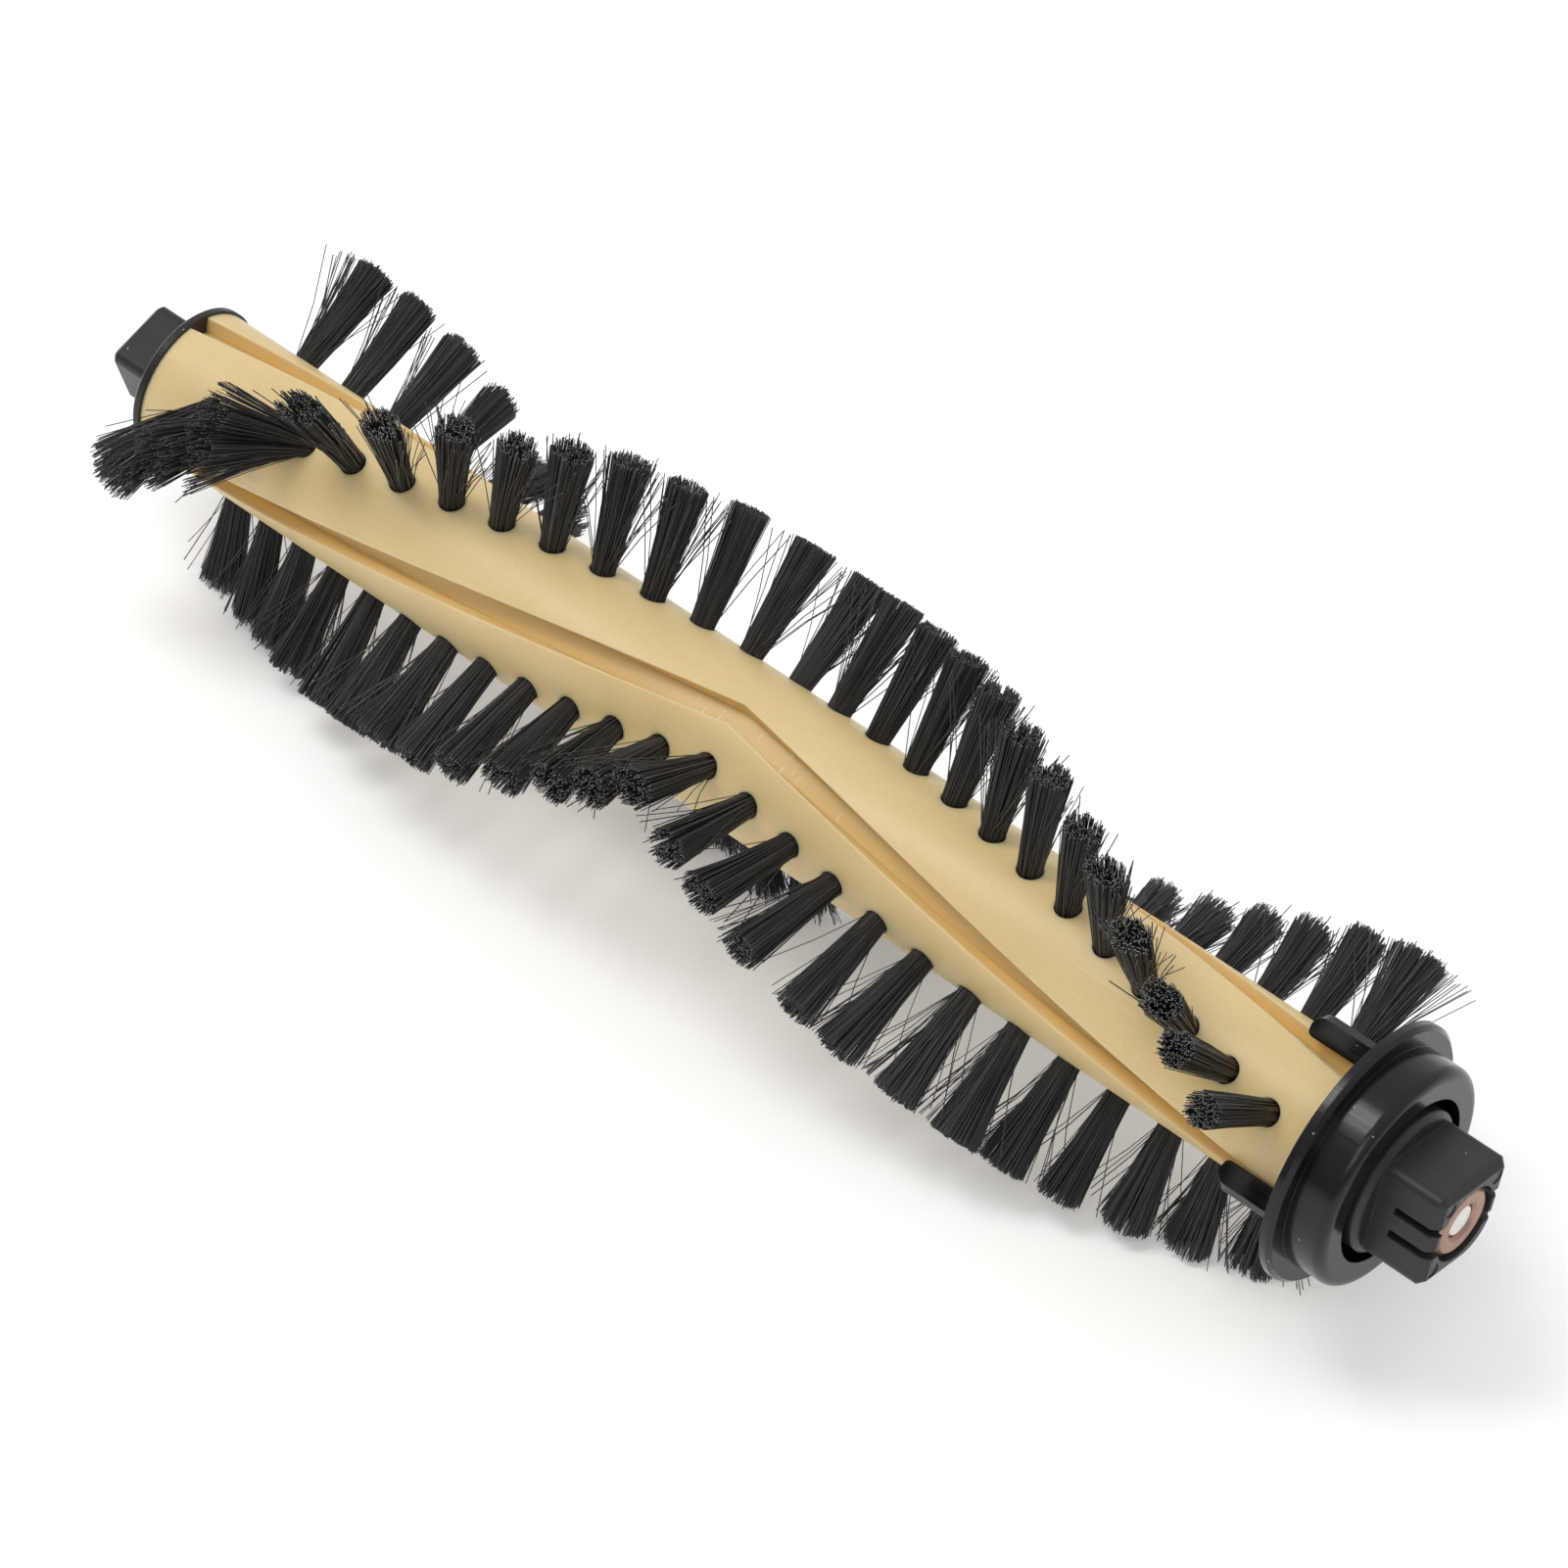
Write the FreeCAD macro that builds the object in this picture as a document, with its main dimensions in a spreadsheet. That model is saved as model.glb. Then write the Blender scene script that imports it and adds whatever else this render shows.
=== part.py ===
"""Roller brush of a robot vacuum: a moulded core with three chevron rows of stapled tufts.

The roller's axis is X. The origin is on that axis, at the end face of the square drive peg,
and X runs towards the bearing. Angles about X are counted from +Y towards +Z, in degrees.
Lengths are millimetres.
"""
import FreeCAD, Part
import math
import os
import Sketcher

from FreeCAD import Placement, Rotation, Vector

DIMENSIONS = {
    # The moulded core and its three chevron grooves
    "core_diameter": 17.5,
    "core_length": 164.4,
    "groove_width": 2.75,
    "groove_floor_width": 2.5,
    "groove_depth": 2.1,
    "groove_lead": 318.0,
    "groove_lag": 76.6,
    # The three rows of tufts and the anchor strip that staples each tuft
    "drive_margin": 8.8,
    "bearing_margin": 6.8,
    "tufts_per_wing": 12,
    "tuft_step_angle": 8.64,
    "hole_diameter": 3.0,
    "hole_depth": 4.2,
    "tuft_fit": 0.05,
    "tuft_tip_diameter": 4.3,
    "brush_diameter": 44.2,
    "bristle_sag": 0.4,
    "anchor_length": 2.6,
    "anchor_thickness": 0.4,
    "anchor_height": 1.5,
    "anchor_fit": 0.03,
    # The drive cap with its square peg
    "peg_size": 8.7,
    "peg_length": 6.8,
    "peg_corner": 1.1,
    "peg_chamfer": 0.5,
    "peg_angle": 112.0,
    "disc_step": 0.35,
    "disc_thickness": 1.2,
    "disc_chamfer": 0.4,
    # The spigots that carry both caps in the core: square at the drive, round at the bearing
    "spigot_size": 5.2,
    "spigot_diameter": 6.6,
    "spigot_length": 14.0,
    "spigot_fit": 0.05,
    "socket_relief": 0.5,
    # The bearing cap: hair flange, collar and fins
    "flange_diameter": 30.6,
    "flange_thickness": 1.3,
    "flange_bevel": 0.5,
    "collar_diameter": 26.0,
    "collar_length": 4.8,
    "collar_lip": 1.2,
    "recess_diameter": 19.4,
    "recess_depth": 4.2,
    "fin_length": 9.0,
    "fin_height": 3.0,
    "fin_width": 1.3,
    "fin_gap": 0.25,
    "fin_nose": 1.8,
    "fin_toe": 0.6,
    "fin_angle": 73.5,
    # The axle pin, the bush and the square bearing block
    "pin_diameter": 4.0,
    "pin_press": 0.005,
    "pin_chamfer": 0.3,
    "pin_setback": 0.3,
    "bush_diameter": 8.0,
    "bush_length": 8.0,
    "bush_chamfer": 0.35,
    "bush_recess": 0.3,
    "bush_press": 0.005,
    "running_fit": 0.03,
    "block_size": 11.6,
    "block_corner": 1.0,
    "keyed_corner": 4.5,
    "block_length": 7.5,
    "block_chamfer": 0.8,
    "seat_mouth_diameter": 9.0,
    "seat_mouth_depth": 1.0,
    "mark_diameter": 1.7,
    "mark_depth": 0.12,
    "mark_inset": 1.75,
    "block_angle": 173.0,
    "base_diameter": 16.8,
    "base_length": 4.4,
    "base_bevel": 0.6,
    "end_play": 0.5,
    "pin_passage": 5.6,
    "slot_width": 1.0,
    "tongue_width": 2.0,
    "slot_depth": 5.2,
}

ROWS = ("a", "b", "c")
ROW_SPACING = 360.0 / len(ROWS)
DOWN = 270.0
OVERRUN = 1.0

doc = FreeCAD.newDocument("roller_brush")
sheet = doc.addObject("Spreadsheet::Sheet", "Sizes")
for line, (alias, number) in enumerate(DIMENSIONS.items(), start=1):
    sheet.set("A%d" % line, alias)
    sheet.set("B%d" % line, str(number))
    sheet.setAlias("B%d" % line, alias)
doc.recompute()


def sized(expression):
    """Write the sheet's name before each of its aliases in an expression."""
    words = expression.replace("(", " ( ").replace(")", " ) ").split()
    return " ".join("Sizes." + word if word in DIMENSIONS else word for word in words)


def value(expression):
    """The number that an expression of the sheet's sizes gives now."""
    return float(sheet.evalExpression(sized(expression)))


def bind(target, name, expression):
    target.setExpression(name, sized(expression))


# Stations along the axis and the spacing of the tufts, each worked out from the sizes
DISC_START = "peg_length"
CORE_START = "peg_length + disc_thickness"
APEX = CORE_START + " + ( core_length + drive_margin - bearing_margin ) / 2"
CORE_END = CORE_START + " + core_length"
FLANGE_END = CORE_END + " + flange_thickness"
COLLAR_END = FLANGE_END + " + collar_length"
RECESS_FLOOR = COLLAR_END + " - recess_depth"
BASE_START = RECESS_FLOOR + " + end_play"
BASE_END = BASE_START + " + base_length"
BLOCK_END = BASE_END + " + block_length"
BUSH_END = BLOCK_END + " - bush_recess"
BUSH_START = BUSH_END + " - bush_length"
PIN_START = CORE_END + " - spigot_length"
PIN_END = BUSH_END + " - pin_setback"
TUFT_PITCH = "( core_length - drive_margin - bearing_margin ) / ( 2 * tufts_per_wing )"


def row_angles():
    """Apex angle of each row, with the gap between two rows pointing straight down."""
    gap = ROW_SPACING - value("tufts_per_wing * tuft_step_angle")
    last = DOWN + gap / 2
    return {row: last - ROW_SPACING * (len(ROWS) - 1 - n) for n, row in enumerate(ROWS)}


def along_x(angle, side):
    """Turn local Z onto the axis (side 1 or -1) and local X out to an angle about the axis."""
    axis = Vector(side, 0, 0)
    out = Vector(0, math.cos(math.radians(angle)), math.sin(math.radians(angle)))
    return Rotation(out, axis.cross(out), axis, "ZXY")


def outline(sketch, corners):
    """Close a polygon through corners given as two expressions; None is on that axis."""
    points = [Vector(*(value(e) if e else 0.0 for e in corner), 0) for corner in corners]
    for n, start in enumerate(points):
        sketch.addGeometry(Part.LineSegment(start, points[(n + 1) % len(points)]), False)
    for n, corner in enumerate(corners):
        following = (n + 1) % len(corners)
        sketch.addConstraint(Sketcher.Constraint("Coincident", n, 2, following, 1))
        for kind, axis, expression in zip(("DistanceX", "DistanceY"), (-2, -1), corner):
            if expression is None:
                sketch.addConstraint(Sketcher.Constraint("PointOnObject", n, 1, axis))
                continue
            held = sketch.addConstraint(Sketcher.Constraint(kind, -1, 1, n, 1, value(expression)))
            bind(sketch, "Constraints[%d]" % held, expression)


def circle(sketch, across, up, radius):
    """A circle with its middle and radius bound to expressions."""
    middle = Vector(value(across), value(up), 0)
    n = sketch.addGeometry(Part.Circle(middle, Vector(0, 0, 1), value(radius)), False)
    for kind, expression in (("DistanceX", across), ("DistanceY", up)):
        held = sketch.addConstraint(Sketcher.Constraint(kind, -1, 1, n, 3, value(expression)))
        bind(sketch, "Constraints[%d]" % held, expression)
    held = sketch.addConstraint(Sketcher.Constraint("Radius", n, value(radius)))
    bind(sketch, "Constraints[%d]" % held, radius)


def body_sketch(body, name, role, offset=None):
    """A sketch on one of the body's own origin planes, moved along the plane's normal."""
    sketch = body.newObject("Sketcher::SketchObject", name)
    plane = [f for f in body.Origin.OriginFeatures if f.Role == role][0]
    sketch.AttachmentSupport = [(plane, "")]
    sketch.MapMode = "FlatFace"
    if offset:
        bind(sketch, "AttachmentOffset.Base.z", offset)
    return sketch


def revolved(body, name, corners):
    """Turn an outline of (station, radius) corners round the roller's axis."""
    sketch = body_sketch(body, name + "_outline", "XY_Plane")
    outline(sketch, corners)
    turned = body.newObject("PartDesign::Revolution", name)
    turned.Profile = sketch
    turned.ReferenceAxis = (sketch, ["H_Axis"])
    turned.Angle = 360
    sketch.Visibility = False
    doc.recompute()
    return turned


def square(body, name, size, offset=None):
    """A centred square across the axis, at the origin or moved along the axis."""
    half = size + " / 2"
    minus = "- " + half
    sketch = body_sketch(body, name, "YZ_Plane", offset)
    outline(sketch, [(minus, minus), (half, minus), (half, half), (minus, half)])
    return sketch


def bored(body, name, corners):
    """Cut an outline of (station, radius) corners away all round the roller's axis."""
    sketch = body_sketch(body, name + "_outline", "XY_Plane")
    outline(sketch, corners)
    cut = body.newObject("PartDesign::Groove", name)
    cut.Profile = sketch
    cut.ReferenceAxis = (sketch, ["H_Axis"])
    cut.Angle = 360
    doc.recompute()
    return cut


def padded(body, name, sketch, length):
    pad = body.newObject("PartDesign::Pad", name)
    pad.Profile = sketch
    bind(pad, "Length", length)
    doc.recompute()
    return pad


def pocketed(body, name, sketch, depth):
    pocket = body.newObject("PartDesign::Pocket", name)
    pocket.Profile = sketch
    bind(pocket, "Length", depth)
    doc.recompute()
    return pocket


def turned_body(body, angle):
    """Turn a finished body about the roller's axis."""
    body.Placement = Placement(Vector(), Rotation(Vector(1, 0, 0), value(angle)))
    bind(body, "Placement.Rotation.Angle", angle)


def edges_where(shape, test):
    return ["Edge%d" % n for n, edge in enumerate(shape.Edges, start=1) if test(edge)]


def is_along_x(edge):
    return edge.Curve.TypeId == "Part::GeomLine" and abs(edge.Curve.Direction.x) > 0.999


def lies_at(edge, station):
    box = edge.BoundBox
    return abs(box.XMin - station) < 1e-4 and abs(box.XMax - station) < 1e-4


def is_ring(edge, station, radius):
    round_edge = edge.Curve.TypeId == "Part::GeomCircle"
    return round_edge and lies_at(edge, station) and abs(edge.Curve.Radius - radius) < 1e-4


def dressed(body, kind, name, base, edges, size):
    """A fillet or chamfer on chosen edges, its size bound to the sheet."""
    feature = body.newObject("PartDesign::" + kind, name)
    feature.Base = (base, edges)
    bind(feature, "Radius" if kind == "Fillet" else "Size", size)
    doc.recompute()
    return feature


def groove_bar(name, angle, side):
    """Sweep the groove's section along the core's helix, from the apex out past one end."""
    reach = CORE_END + " - ( " + APEX + " )" if side > 0 else APEX + " - ( " + CORE_START + " )"
    place = Placement(Vector(value(APEX), 0, 0), along_x(angle, side))
    helix = doc.addObject("Part::Helix", name + "_path")
    bind(helix, "Pitch", "groove_lead")
    bind(helix, "Height", reach + " + %g" % OVERRUN)
    bind(helix, "Radius", "core_diameter / 2")
    helix.LocalCoord = "Right-handed" if side > 0 else "Left-handed"
    helix.Placement = place
    bind(helix, "Placement.Base.x", APEX)
    section = doc.addObject("Sketcher::SketchObject", name + "_section")
    section.Placement = place
    bind(section, "Placement.Base.x", APEX)
    inner = "core_diameter / 2 - groove_depth"
    outer = "core_diameter / 2 + groove_depth"
    floor = "groove_floor_width / 2"
    mouth = "( groove_width - groove_floor_width / 2 )"
    outline(section, [(inner, "- " + floor), (outer, "- " + mouth), (outer, mouth), (inner, floor)])
    bar = doc.addObject("Part::Sweep", name)
    bar.Sections = [section]
    bar.Spine = (helix, [])
    bar.Solid = True
    bar.Frenet = True
    return bar


def groove_angle(row):
    return row_angles()[row] + value("groove_lag")


def cylinder_along(name, start, radius, length):
    solid = doc.addObject("Part::Cylinder", name)
    solid.Placement = Placement(Vector(), along_x(0, 1))
    bind(solid, "Placement.Base.x", start)
    bind(solid, "Radius", radius)
    bind(solid, "Height", length)
    return solid


def square_along(name, start, angle, half, length):
    """A square bar along the axis, its faces turned to an angle about it."""
    solid = doc.addObject("Part::Prism", name)
    solid.Polygon = 4
    solid.Placement = Placement(Vector(), along_x(value(angle) + 45, 1))
    bind(solid, "Placement.Base.x", start)
    bind(solid, "Circumradius", "( " + half + " ) * 2 ^ 0.5")
    bind(solid, "Height", length)
    return solid


def tuft_places():
    """Station and angle of every tuft, by row and wing; a wing is counted from the apex."""
    places = {}
    count = int(value("tufts_per_wing"))
    for row, apex_angle in row_angles().items():
        for wing, side in (("drive", -1), ("apex", 0), ("bearing", 1)):
            numbers = range(1, count + 1) if side else (0,)
            places[row, wing] = [
                (value(APEX) + side * n * value(TUFT_PITCH),
                 apex_angle + n * value("tuft_step_angle"))
                for n in numbers
            ]
    return places


def stand(shape, station, angle):
    """Move a shape made along local Z out to its station and angle on the core."""
    turn = Rotation(Vector(1, 0, 0), angle - 90)
    return shape.transformed(Placement(Vector(station, 0, 0), turn).toMatrix())


def make_core():
    """One moulding: three chevron grooves, blind tuft holes and a socket at each end."""
    blank = cylinder_along("core_blank", CORE_START, "core_diameter / 2", "core_length")
    tools = []
    for row in ROWS:
        for end, side in (("drive", -1), ("bearing", 1)):
            tools.append(groove_bar("groove_%s_%s" % (row, end), groove_angle(row), side))
    depth = "spigot_length + socket_relief"
    square_half = "spigot_size / 2 + spigot_fit"
    tools.append(square_along("drive_socket", CORE_START, "peg_angle", square_half, depth))
    round_half = "spigot_diameter / 2 + spigot_fit"
    tools.append(cylinder_along("bearing_socket", CORE_END + " - ( " + depth + " )", round_half, depth))
    bottom = value("core_diameter / 2 - hole_depth")
    drill = Part.makeCylinder(value("hole_diameter / 2"), value("hole_depth") + OVERRUN, Vector(0, 0, bottom))
    holes = doc.addObject("Part::Feature", "tuft_holes")
    holes.Shape = Part.makeCompound(
        [stand(drill, *place) for wing in tuft_places().values() for place in wing])
    tools.append(holes)
    core = blank
    for tool in tools:
        cut = doc.addObject("Part::Cut", "core_less_" + tool.Name)
        cut.Base = core
        cut.Tool = tool
        core = cut
    doc.recompute()
    return core


def make_tufts(places):
    """Flared tufts, each forked over its anchor and pressed flat where it meets the floor."""
    hole_bottom = value("core_diameter / 2 - hole_depth")
    surface = value("core_diameter / 2")
    tip = value("brush_diameter / 2")
    root_radius = value("hole_diameter / 2 - tuft_fit")
    stem = Part.makeCylinder(root_radius, surface - hole_bottom, Vector(0, 0, hole_bottom))
    flare = Part.makeCone(root_radius, value("tuft_tip_diameter / 2"), tip - surface, Vector(0, 0, surface))
    fork_width = value("anchor_thickness + 2 * anchor_fit")
    fork = Part.makeBox(
        value("hole_diameter"), fork_width, value("anchor_height + anchor_fit"),
        Vector(-value("hole_diameter / 2"), -fork_width / 2, hole_bottom))
    tuft = stem.fuse(flare).removeSplitter().cut(fork)
    floor = -(tip - value("bristle_sag"))
    span = value("brush_diameter")
    below = Part.makeBox(value(BLOCK_END), 2 * span, span, Vector(0, -span, floor - span))
    solids = []
    for place in places:
        solid = stand(tuft, *place)
        solids.append(solid.cut(below) if solid.BoundBox.ZMin < floor else solid)
    return Part.makeCompound([s for solid in solids for s in solid.Solids])


def make_anchors(places):
    """Flat strips across the holes, one under the fold of each tuft."""
    length = value("anchor_length")
    thickness = value("anchor_thickness")
    corner = Vector(-length / 2, -thickness / 2, value("core_diameter / 2 - hole_depth"))
    strip = Part.makeBox(length, thickness, value("anchor_height"), corner)
    return Part.makeCompound([stand(strip, *place) for place in places])


def make_drive_cap():
    """Square peg, end disc and square spigot in one moulding."""
    body = doc.addObject("PartDesign::Body", "drive_cap")
    peg = padded(body, "peg", square(body, "peg_outline", "peg_size"), "peg_length")
    rounded = dressed(body, "Fillet", "peg_corners", peg, edges_where(peg.Shape, is_along_x), "peg_corner")
    tip_edges = edges_where(rounded.Shape, lambda edge: lies_at(edge, 0))
    dressed(body, "Chamfer", "peg_tip", rounded, tip_edges, "peg_chamfer")
    rim = "core_diameter / 2 + disc_step"
    revolved(body, "disc", [
        (DISC_START, None),
        (DISC_START, rim + " - disc_chamfer"),
        (DISC_START + " + disc_chamfer", rim),
        (CORE_START, rim),
        (CORE_START, None),
    ])
    padded(body, "spigot", square(body, "spigot_outline", "spigot_size", CORE_START), "spigot_length")
    turned_body(body, "peg_angle")
    return body


def nose_edges(shape, station, radius):
    """The straight edges across the fins at one station and one distance from the axis."""
    def fits(edge):
        middle = edge.CenterOfMass
        straight = edge.Curve.TypeId == "Part::GeomLine" and lies_at(edge, value(station))
        return straight and abs(math.hypot(middle.y, middle.z) - value(radius)) < 1e-4
    return edges_where(shape, fits)


def make_bearing_cap():
    """Hair flange, recessed collar and spigot in one moulding, with three fins along the core."""
    body = doc.addObject("PartDesign::Body", "bearing_cap")
    stub = "spigot_diameter / 2"
    rim = "flange_diameter / 2"
    collar = "collar_diameter / 2"
    recess = "recess_diameter / 2"
    pin = "pin_diameter / 2 + pin_press"
    turned = revolved(body, "flange_and_collar", [
        (PIN_START, pin),
        (PIN_START, stub),
        (CORE_END, stub),
        (CORE_END, rim),
        (FLANGE_END + " - flange_bevel", rim),
        (FLANGE_END, rim + " - flange_bevel"),
        (FLANGE_END, collar),
        (COLLAR_END, collar),
        (COLLAR_END, recess),
        (RECESS_FLOOR, recess),
        (RECESS_FLOOR, pin),
    ])
    front = value(COLLAR_END)
    lip = edges_where(turned.Shape, lambda edge: is_ring(edge, front, value(collar)))
    dressed(body, "Fillet", "collar_lip", turned, lip, "collar_lip")
    nose = CORE_END + " - fin_length"
    root = CORE_END + " + flange_thickness / 2"
    inner = "core_diameter / 2 + fin_gap"
    outer = "core_diameter / 2 + fin_height"
    side = body_sketch(body, "fin_side", "XY_Plane", "- fin_width / 2")
    outline(side, [(nose, inner), (root, inner), (root, outer), (nose, outer)])
    fin = padded(body, "fin", side, "fin_width")
    fins = body.newObject("PartDesign::PolarPattern", "fins")
    fins.Originals = [fin]
    fins.Axis = (turned.Profile[0], ["H_Axis"])
    fins.Angle = 360
    fins.Occurrences = len(ROWS)
    body.Tip = fins
    doc.recompute()
    front_edges = nose_edges(fins.Shape, nose, outer)
    noses = dressed(body, "Fillet", "fin_noses", fins, front_edges, "fin_nose")
    dressed(body, "Fillet", "fin_toes", noses, nose_edges(noses.Shape, nose, inner), "fin_toe")
    turned_body(body, "fin_angle")
    return body


def make_pin():
    """Plain steel pin pressed into the bearing cap."""
    body = doc.addObject("PartDesign::Body", "axle_pin")
    radius = "pin_diameter / 2"
    revolved(body, "pin", [
        (PIN_START, None),
        (PIN_START, radius + " - pin_chamfer"),
        (PIN_START + " + pin_chamfer", radius),
        (PIN_END + " - pin_chamfer", radius),
        (PIN_END, radius + " - pin_chamfer"),
        (PIN_END, None),
    ])
    return body


def make_bush():
    """Sintered plain bush that runs on the pin."""
    body = doc.addObject("PartDesign::Body", "bearing_bush")
    bore = "pin_diameter / 2 + running_fit"
    wall = "bush_diameter / 2"
    revolved(body, "bush", [
        (BUSH_START, bore),
        (BUSH_START, wall + " - bush_chamfer"),
        (BUSH_START + " + bush_chamfer", wall),
        (BUSH_END + " - bush_chamfer", wall),
        (BUSH_END, wall + " - bush_chamfer"),
        (BUSH_END, bore + " + bush_chamfer"),
        (BUSH_END + " - bush_chamfer", bore),
    ])
    return body


def make_block():
    """Square block on a round base; two pairs of slots leave tongues that hold the bush."""
    body = doc.addObject("PartDesign::Body", "bearing_block")
    pad = padded(body, "square_end", square(body, "square_outline", "block_size", BASE_END), "block_length")

    def is_keyed(edge):
        return edge.CenterOfMass.y < 0 < edge.CenterOfMass.z

    plain = edges_where(pad.Shape, lambda edge: is_along_x(edge) and not is_keyed(edge))
    rounded = dressed(body, "Fillet", "square_corners", pad, plain, "block_corner")
    last = edges_where(rounded.Shape, lambda edge: is_along_x(edge) and is_keyed(edge))
    keyed = dressed(body, "Fillet", "keyed_corner", rounded, last, "keyed_corner")
    front = value(BLOCK_END)
    rim_edges = edges_where(keyed.Shape, lambda edge: lies_at(edge, front))
    dressed(body, "Chamfer", "square_rim", keyed, rim_edges, "block_chamfer")
    base = "base_diameter / 2"
    revolved(body, "round_base", [
        (BASE_START, None),
        (BASE_START, base),
        (BASE_END + " - base_bevel", base),
        (BASE_END, base + " - base_bevel"),
        (BASE_END, None),
    ])
    seat = "bush_diameter / 2 + bush_press"
    passage = "pin_passage / 2"
    mouth = "seat_mouth_diameter / 2"
    shoulder = BLOCK_END + " - seat_mouth_depth"
    bored(body, "bush_seat", [
        (BASE_START, None),
        (BASE_START, passage),
        (BUSH_START, passage),
        (BUSH_START, seat),
        (shoulder, seat),
        (shoulder, mouth),
        (BLOCK_END, mouth),
        (BLOCK_END, None),
    ])
    near = "tongue_width / 2"
    far = "tongue_width / 2 + slot_width"
    reach = "block_size"
    for name, low, high in (("upper_slots", near, far), ("lower_slots", "- ( " + far + " )", "- " + near)):
        slot = body_sketch(body, name + "_outline", "YZ_Plane", BLOCK_END)
        outline(slot, [("- " + reach, low), (reach, low), (reach, high), ("- " + reach, high)])
        pocketed(body, name, slot, "slot_depth")
    marks = body_sketch(body, "ejector_outline", "YZ_Plane", BLOCK_END)
    inset = "( block_size / 2 - mark_inset )"
    for y, z in ((inset, inset), (inset, "- " + inset), ("- " + inset, "- " + inset)):
        circle(marks, y, z, "mark_diameter / 2")
    pocketed(body, "ejector_marks", marks, "mark_depth")
    turned_body(body, "block_angle")
    return body


def make_groups():
    """Tufts and their anchors, as one group of solids for each wing of each row."""
    groups = {}
    for (row, wing), places in tuft_places().items():
        for kind, maker in (("tufts", make_tufts), ("anchors", make_anchors)):
            name = "%s_%s_%s" % (kind, row, wing)
            group = doc.addObject("Part::Feature", name)
            group.Shape = maker(places)
            group.Placement = Placement()
            groups[name] = group
    return groups


def write(pieces):
    """Check the whole document, then write one file for each piece."""
    doc.recompute()
    failed = [o.Name for o in doc.Objects if {"Invalid", "Error"} & set(o.State)]
    if failed:
        raise RuntimeError("objects failed: " + ", ".join(failed))
    for name, piece in pieces.items():
        if piece.Shape.isNull() or not piece.Shape.isValid() or not piece.Shape.Solids:
            raise RuntimeError("no sound solid in " + name)
    os.makedirs("parts", exist_ok=True)
    for name, piece in pieces.items():
        piece.Label = name
        piece.Shape.exportStep(os.path.join("parts", name + ".step"))
        print("%-18s %3d solids %10.2f mm3" % (name, len(piece.Shape.Solids), piece.Shape.Volume))


model = {
    "roller_core": make_core(),
    "drive_cap": make_drive_cap(),
    "bearing_cap": make_bearing_cap(),
    "axle_pin": make_pin(),
    "bearing_bush": make_bush(),
    "bearing_block": make_block(),
}
model.update(make_groups())
write(model)
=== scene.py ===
# %% [markdown]
# # A roller brush with real bristles
# The rigid pieces of this brush come ready made from the CAD frame: a beige core, two black caps, a pin, a
# bush and a bearing block. This lesson dresses them, and turns each plain CAD tuft into a bundle of
# filaments.

# %% Load the frame
import math

import bpy
import numpy as np
from mathutils import Matrix, Vector


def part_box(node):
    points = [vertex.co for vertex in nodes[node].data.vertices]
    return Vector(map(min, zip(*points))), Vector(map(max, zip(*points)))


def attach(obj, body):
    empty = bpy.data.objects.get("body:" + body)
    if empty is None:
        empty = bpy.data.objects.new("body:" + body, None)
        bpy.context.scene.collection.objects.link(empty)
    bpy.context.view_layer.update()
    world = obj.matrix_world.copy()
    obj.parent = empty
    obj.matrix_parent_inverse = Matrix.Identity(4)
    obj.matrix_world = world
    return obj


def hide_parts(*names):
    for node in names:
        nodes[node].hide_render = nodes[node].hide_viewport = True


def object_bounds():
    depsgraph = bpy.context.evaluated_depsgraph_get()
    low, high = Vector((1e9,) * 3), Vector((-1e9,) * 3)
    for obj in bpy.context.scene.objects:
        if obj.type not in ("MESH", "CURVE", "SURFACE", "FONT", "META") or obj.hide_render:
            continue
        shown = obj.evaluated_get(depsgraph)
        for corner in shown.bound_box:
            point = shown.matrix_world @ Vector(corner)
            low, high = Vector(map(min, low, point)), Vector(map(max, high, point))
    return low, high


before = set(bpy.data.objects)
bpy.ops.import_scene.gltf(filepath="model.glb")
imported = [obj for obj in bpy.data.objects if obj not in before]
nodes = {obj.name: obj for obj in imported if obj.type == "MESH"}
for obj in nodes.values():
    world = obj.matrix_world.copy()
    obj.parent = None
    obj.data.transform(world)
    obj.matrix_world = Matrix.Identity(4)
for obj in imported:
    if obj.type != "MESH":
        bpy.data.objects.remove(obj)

MM = 0.001
cad_low, cad_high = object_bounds()
print("nodes", len(nodes), "size in mm", [round(s / MM, 1) for s in cad_high - cad_low])

# %% [markdown]
# ## Where the tufts stand
# A CAD node holds one wing of a row: up to twelve tufts at even steps along the roller. They could be typed
# in again, but a copy of the numbers would go stale. So the places are read from the frame: sorted along
# the axis, the points of one tuft lie close together and a wide gap starts the next. The points near the
# axis are the tuft's straight stem, and their middle gives its angle.

# %% Read the tufts' stations and angles
ROWS = ("a", "b", "c")
WINGS = ("drive", "apex", "bearing")
AXIS_GAP = 0.8 * MM
STEM_MARGIN = 0.1 * MM
core_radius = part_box("roller_core")[1].z


def tuft_places(node):
    """(station, angle) of each tuft of a CAD node, counted outwards from the apex."""
    points = np.array([vertex.co for vertex in nodes[node].data.vertices])
    points = points[np.argsort(points[:, 0])]
    starts = np.flatnonzero(np.diff(points[:, 0]) > AXIS_GAP) + 1
    places = []
    for tuft in np.split(points, starts):
        stem = tuft[np.hypot(tuft[:, 1], tuft[:, 2]) < core_radius + STEM_MARGIN].mean(0)
        places.append(((tuft[0, 0] + tuft[-1, 0]) / 2, math.atan2(stem[2], stem[1])))
    return places[::-1] if node.endswith("drive") else places


places = {(row, wing): tuft_places("tufts_%s_%s" % (row, wing)) for row in ROWS for wing in WINGS}
print("tufts", sum(len(wing) for wing in places.values()))

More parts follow.
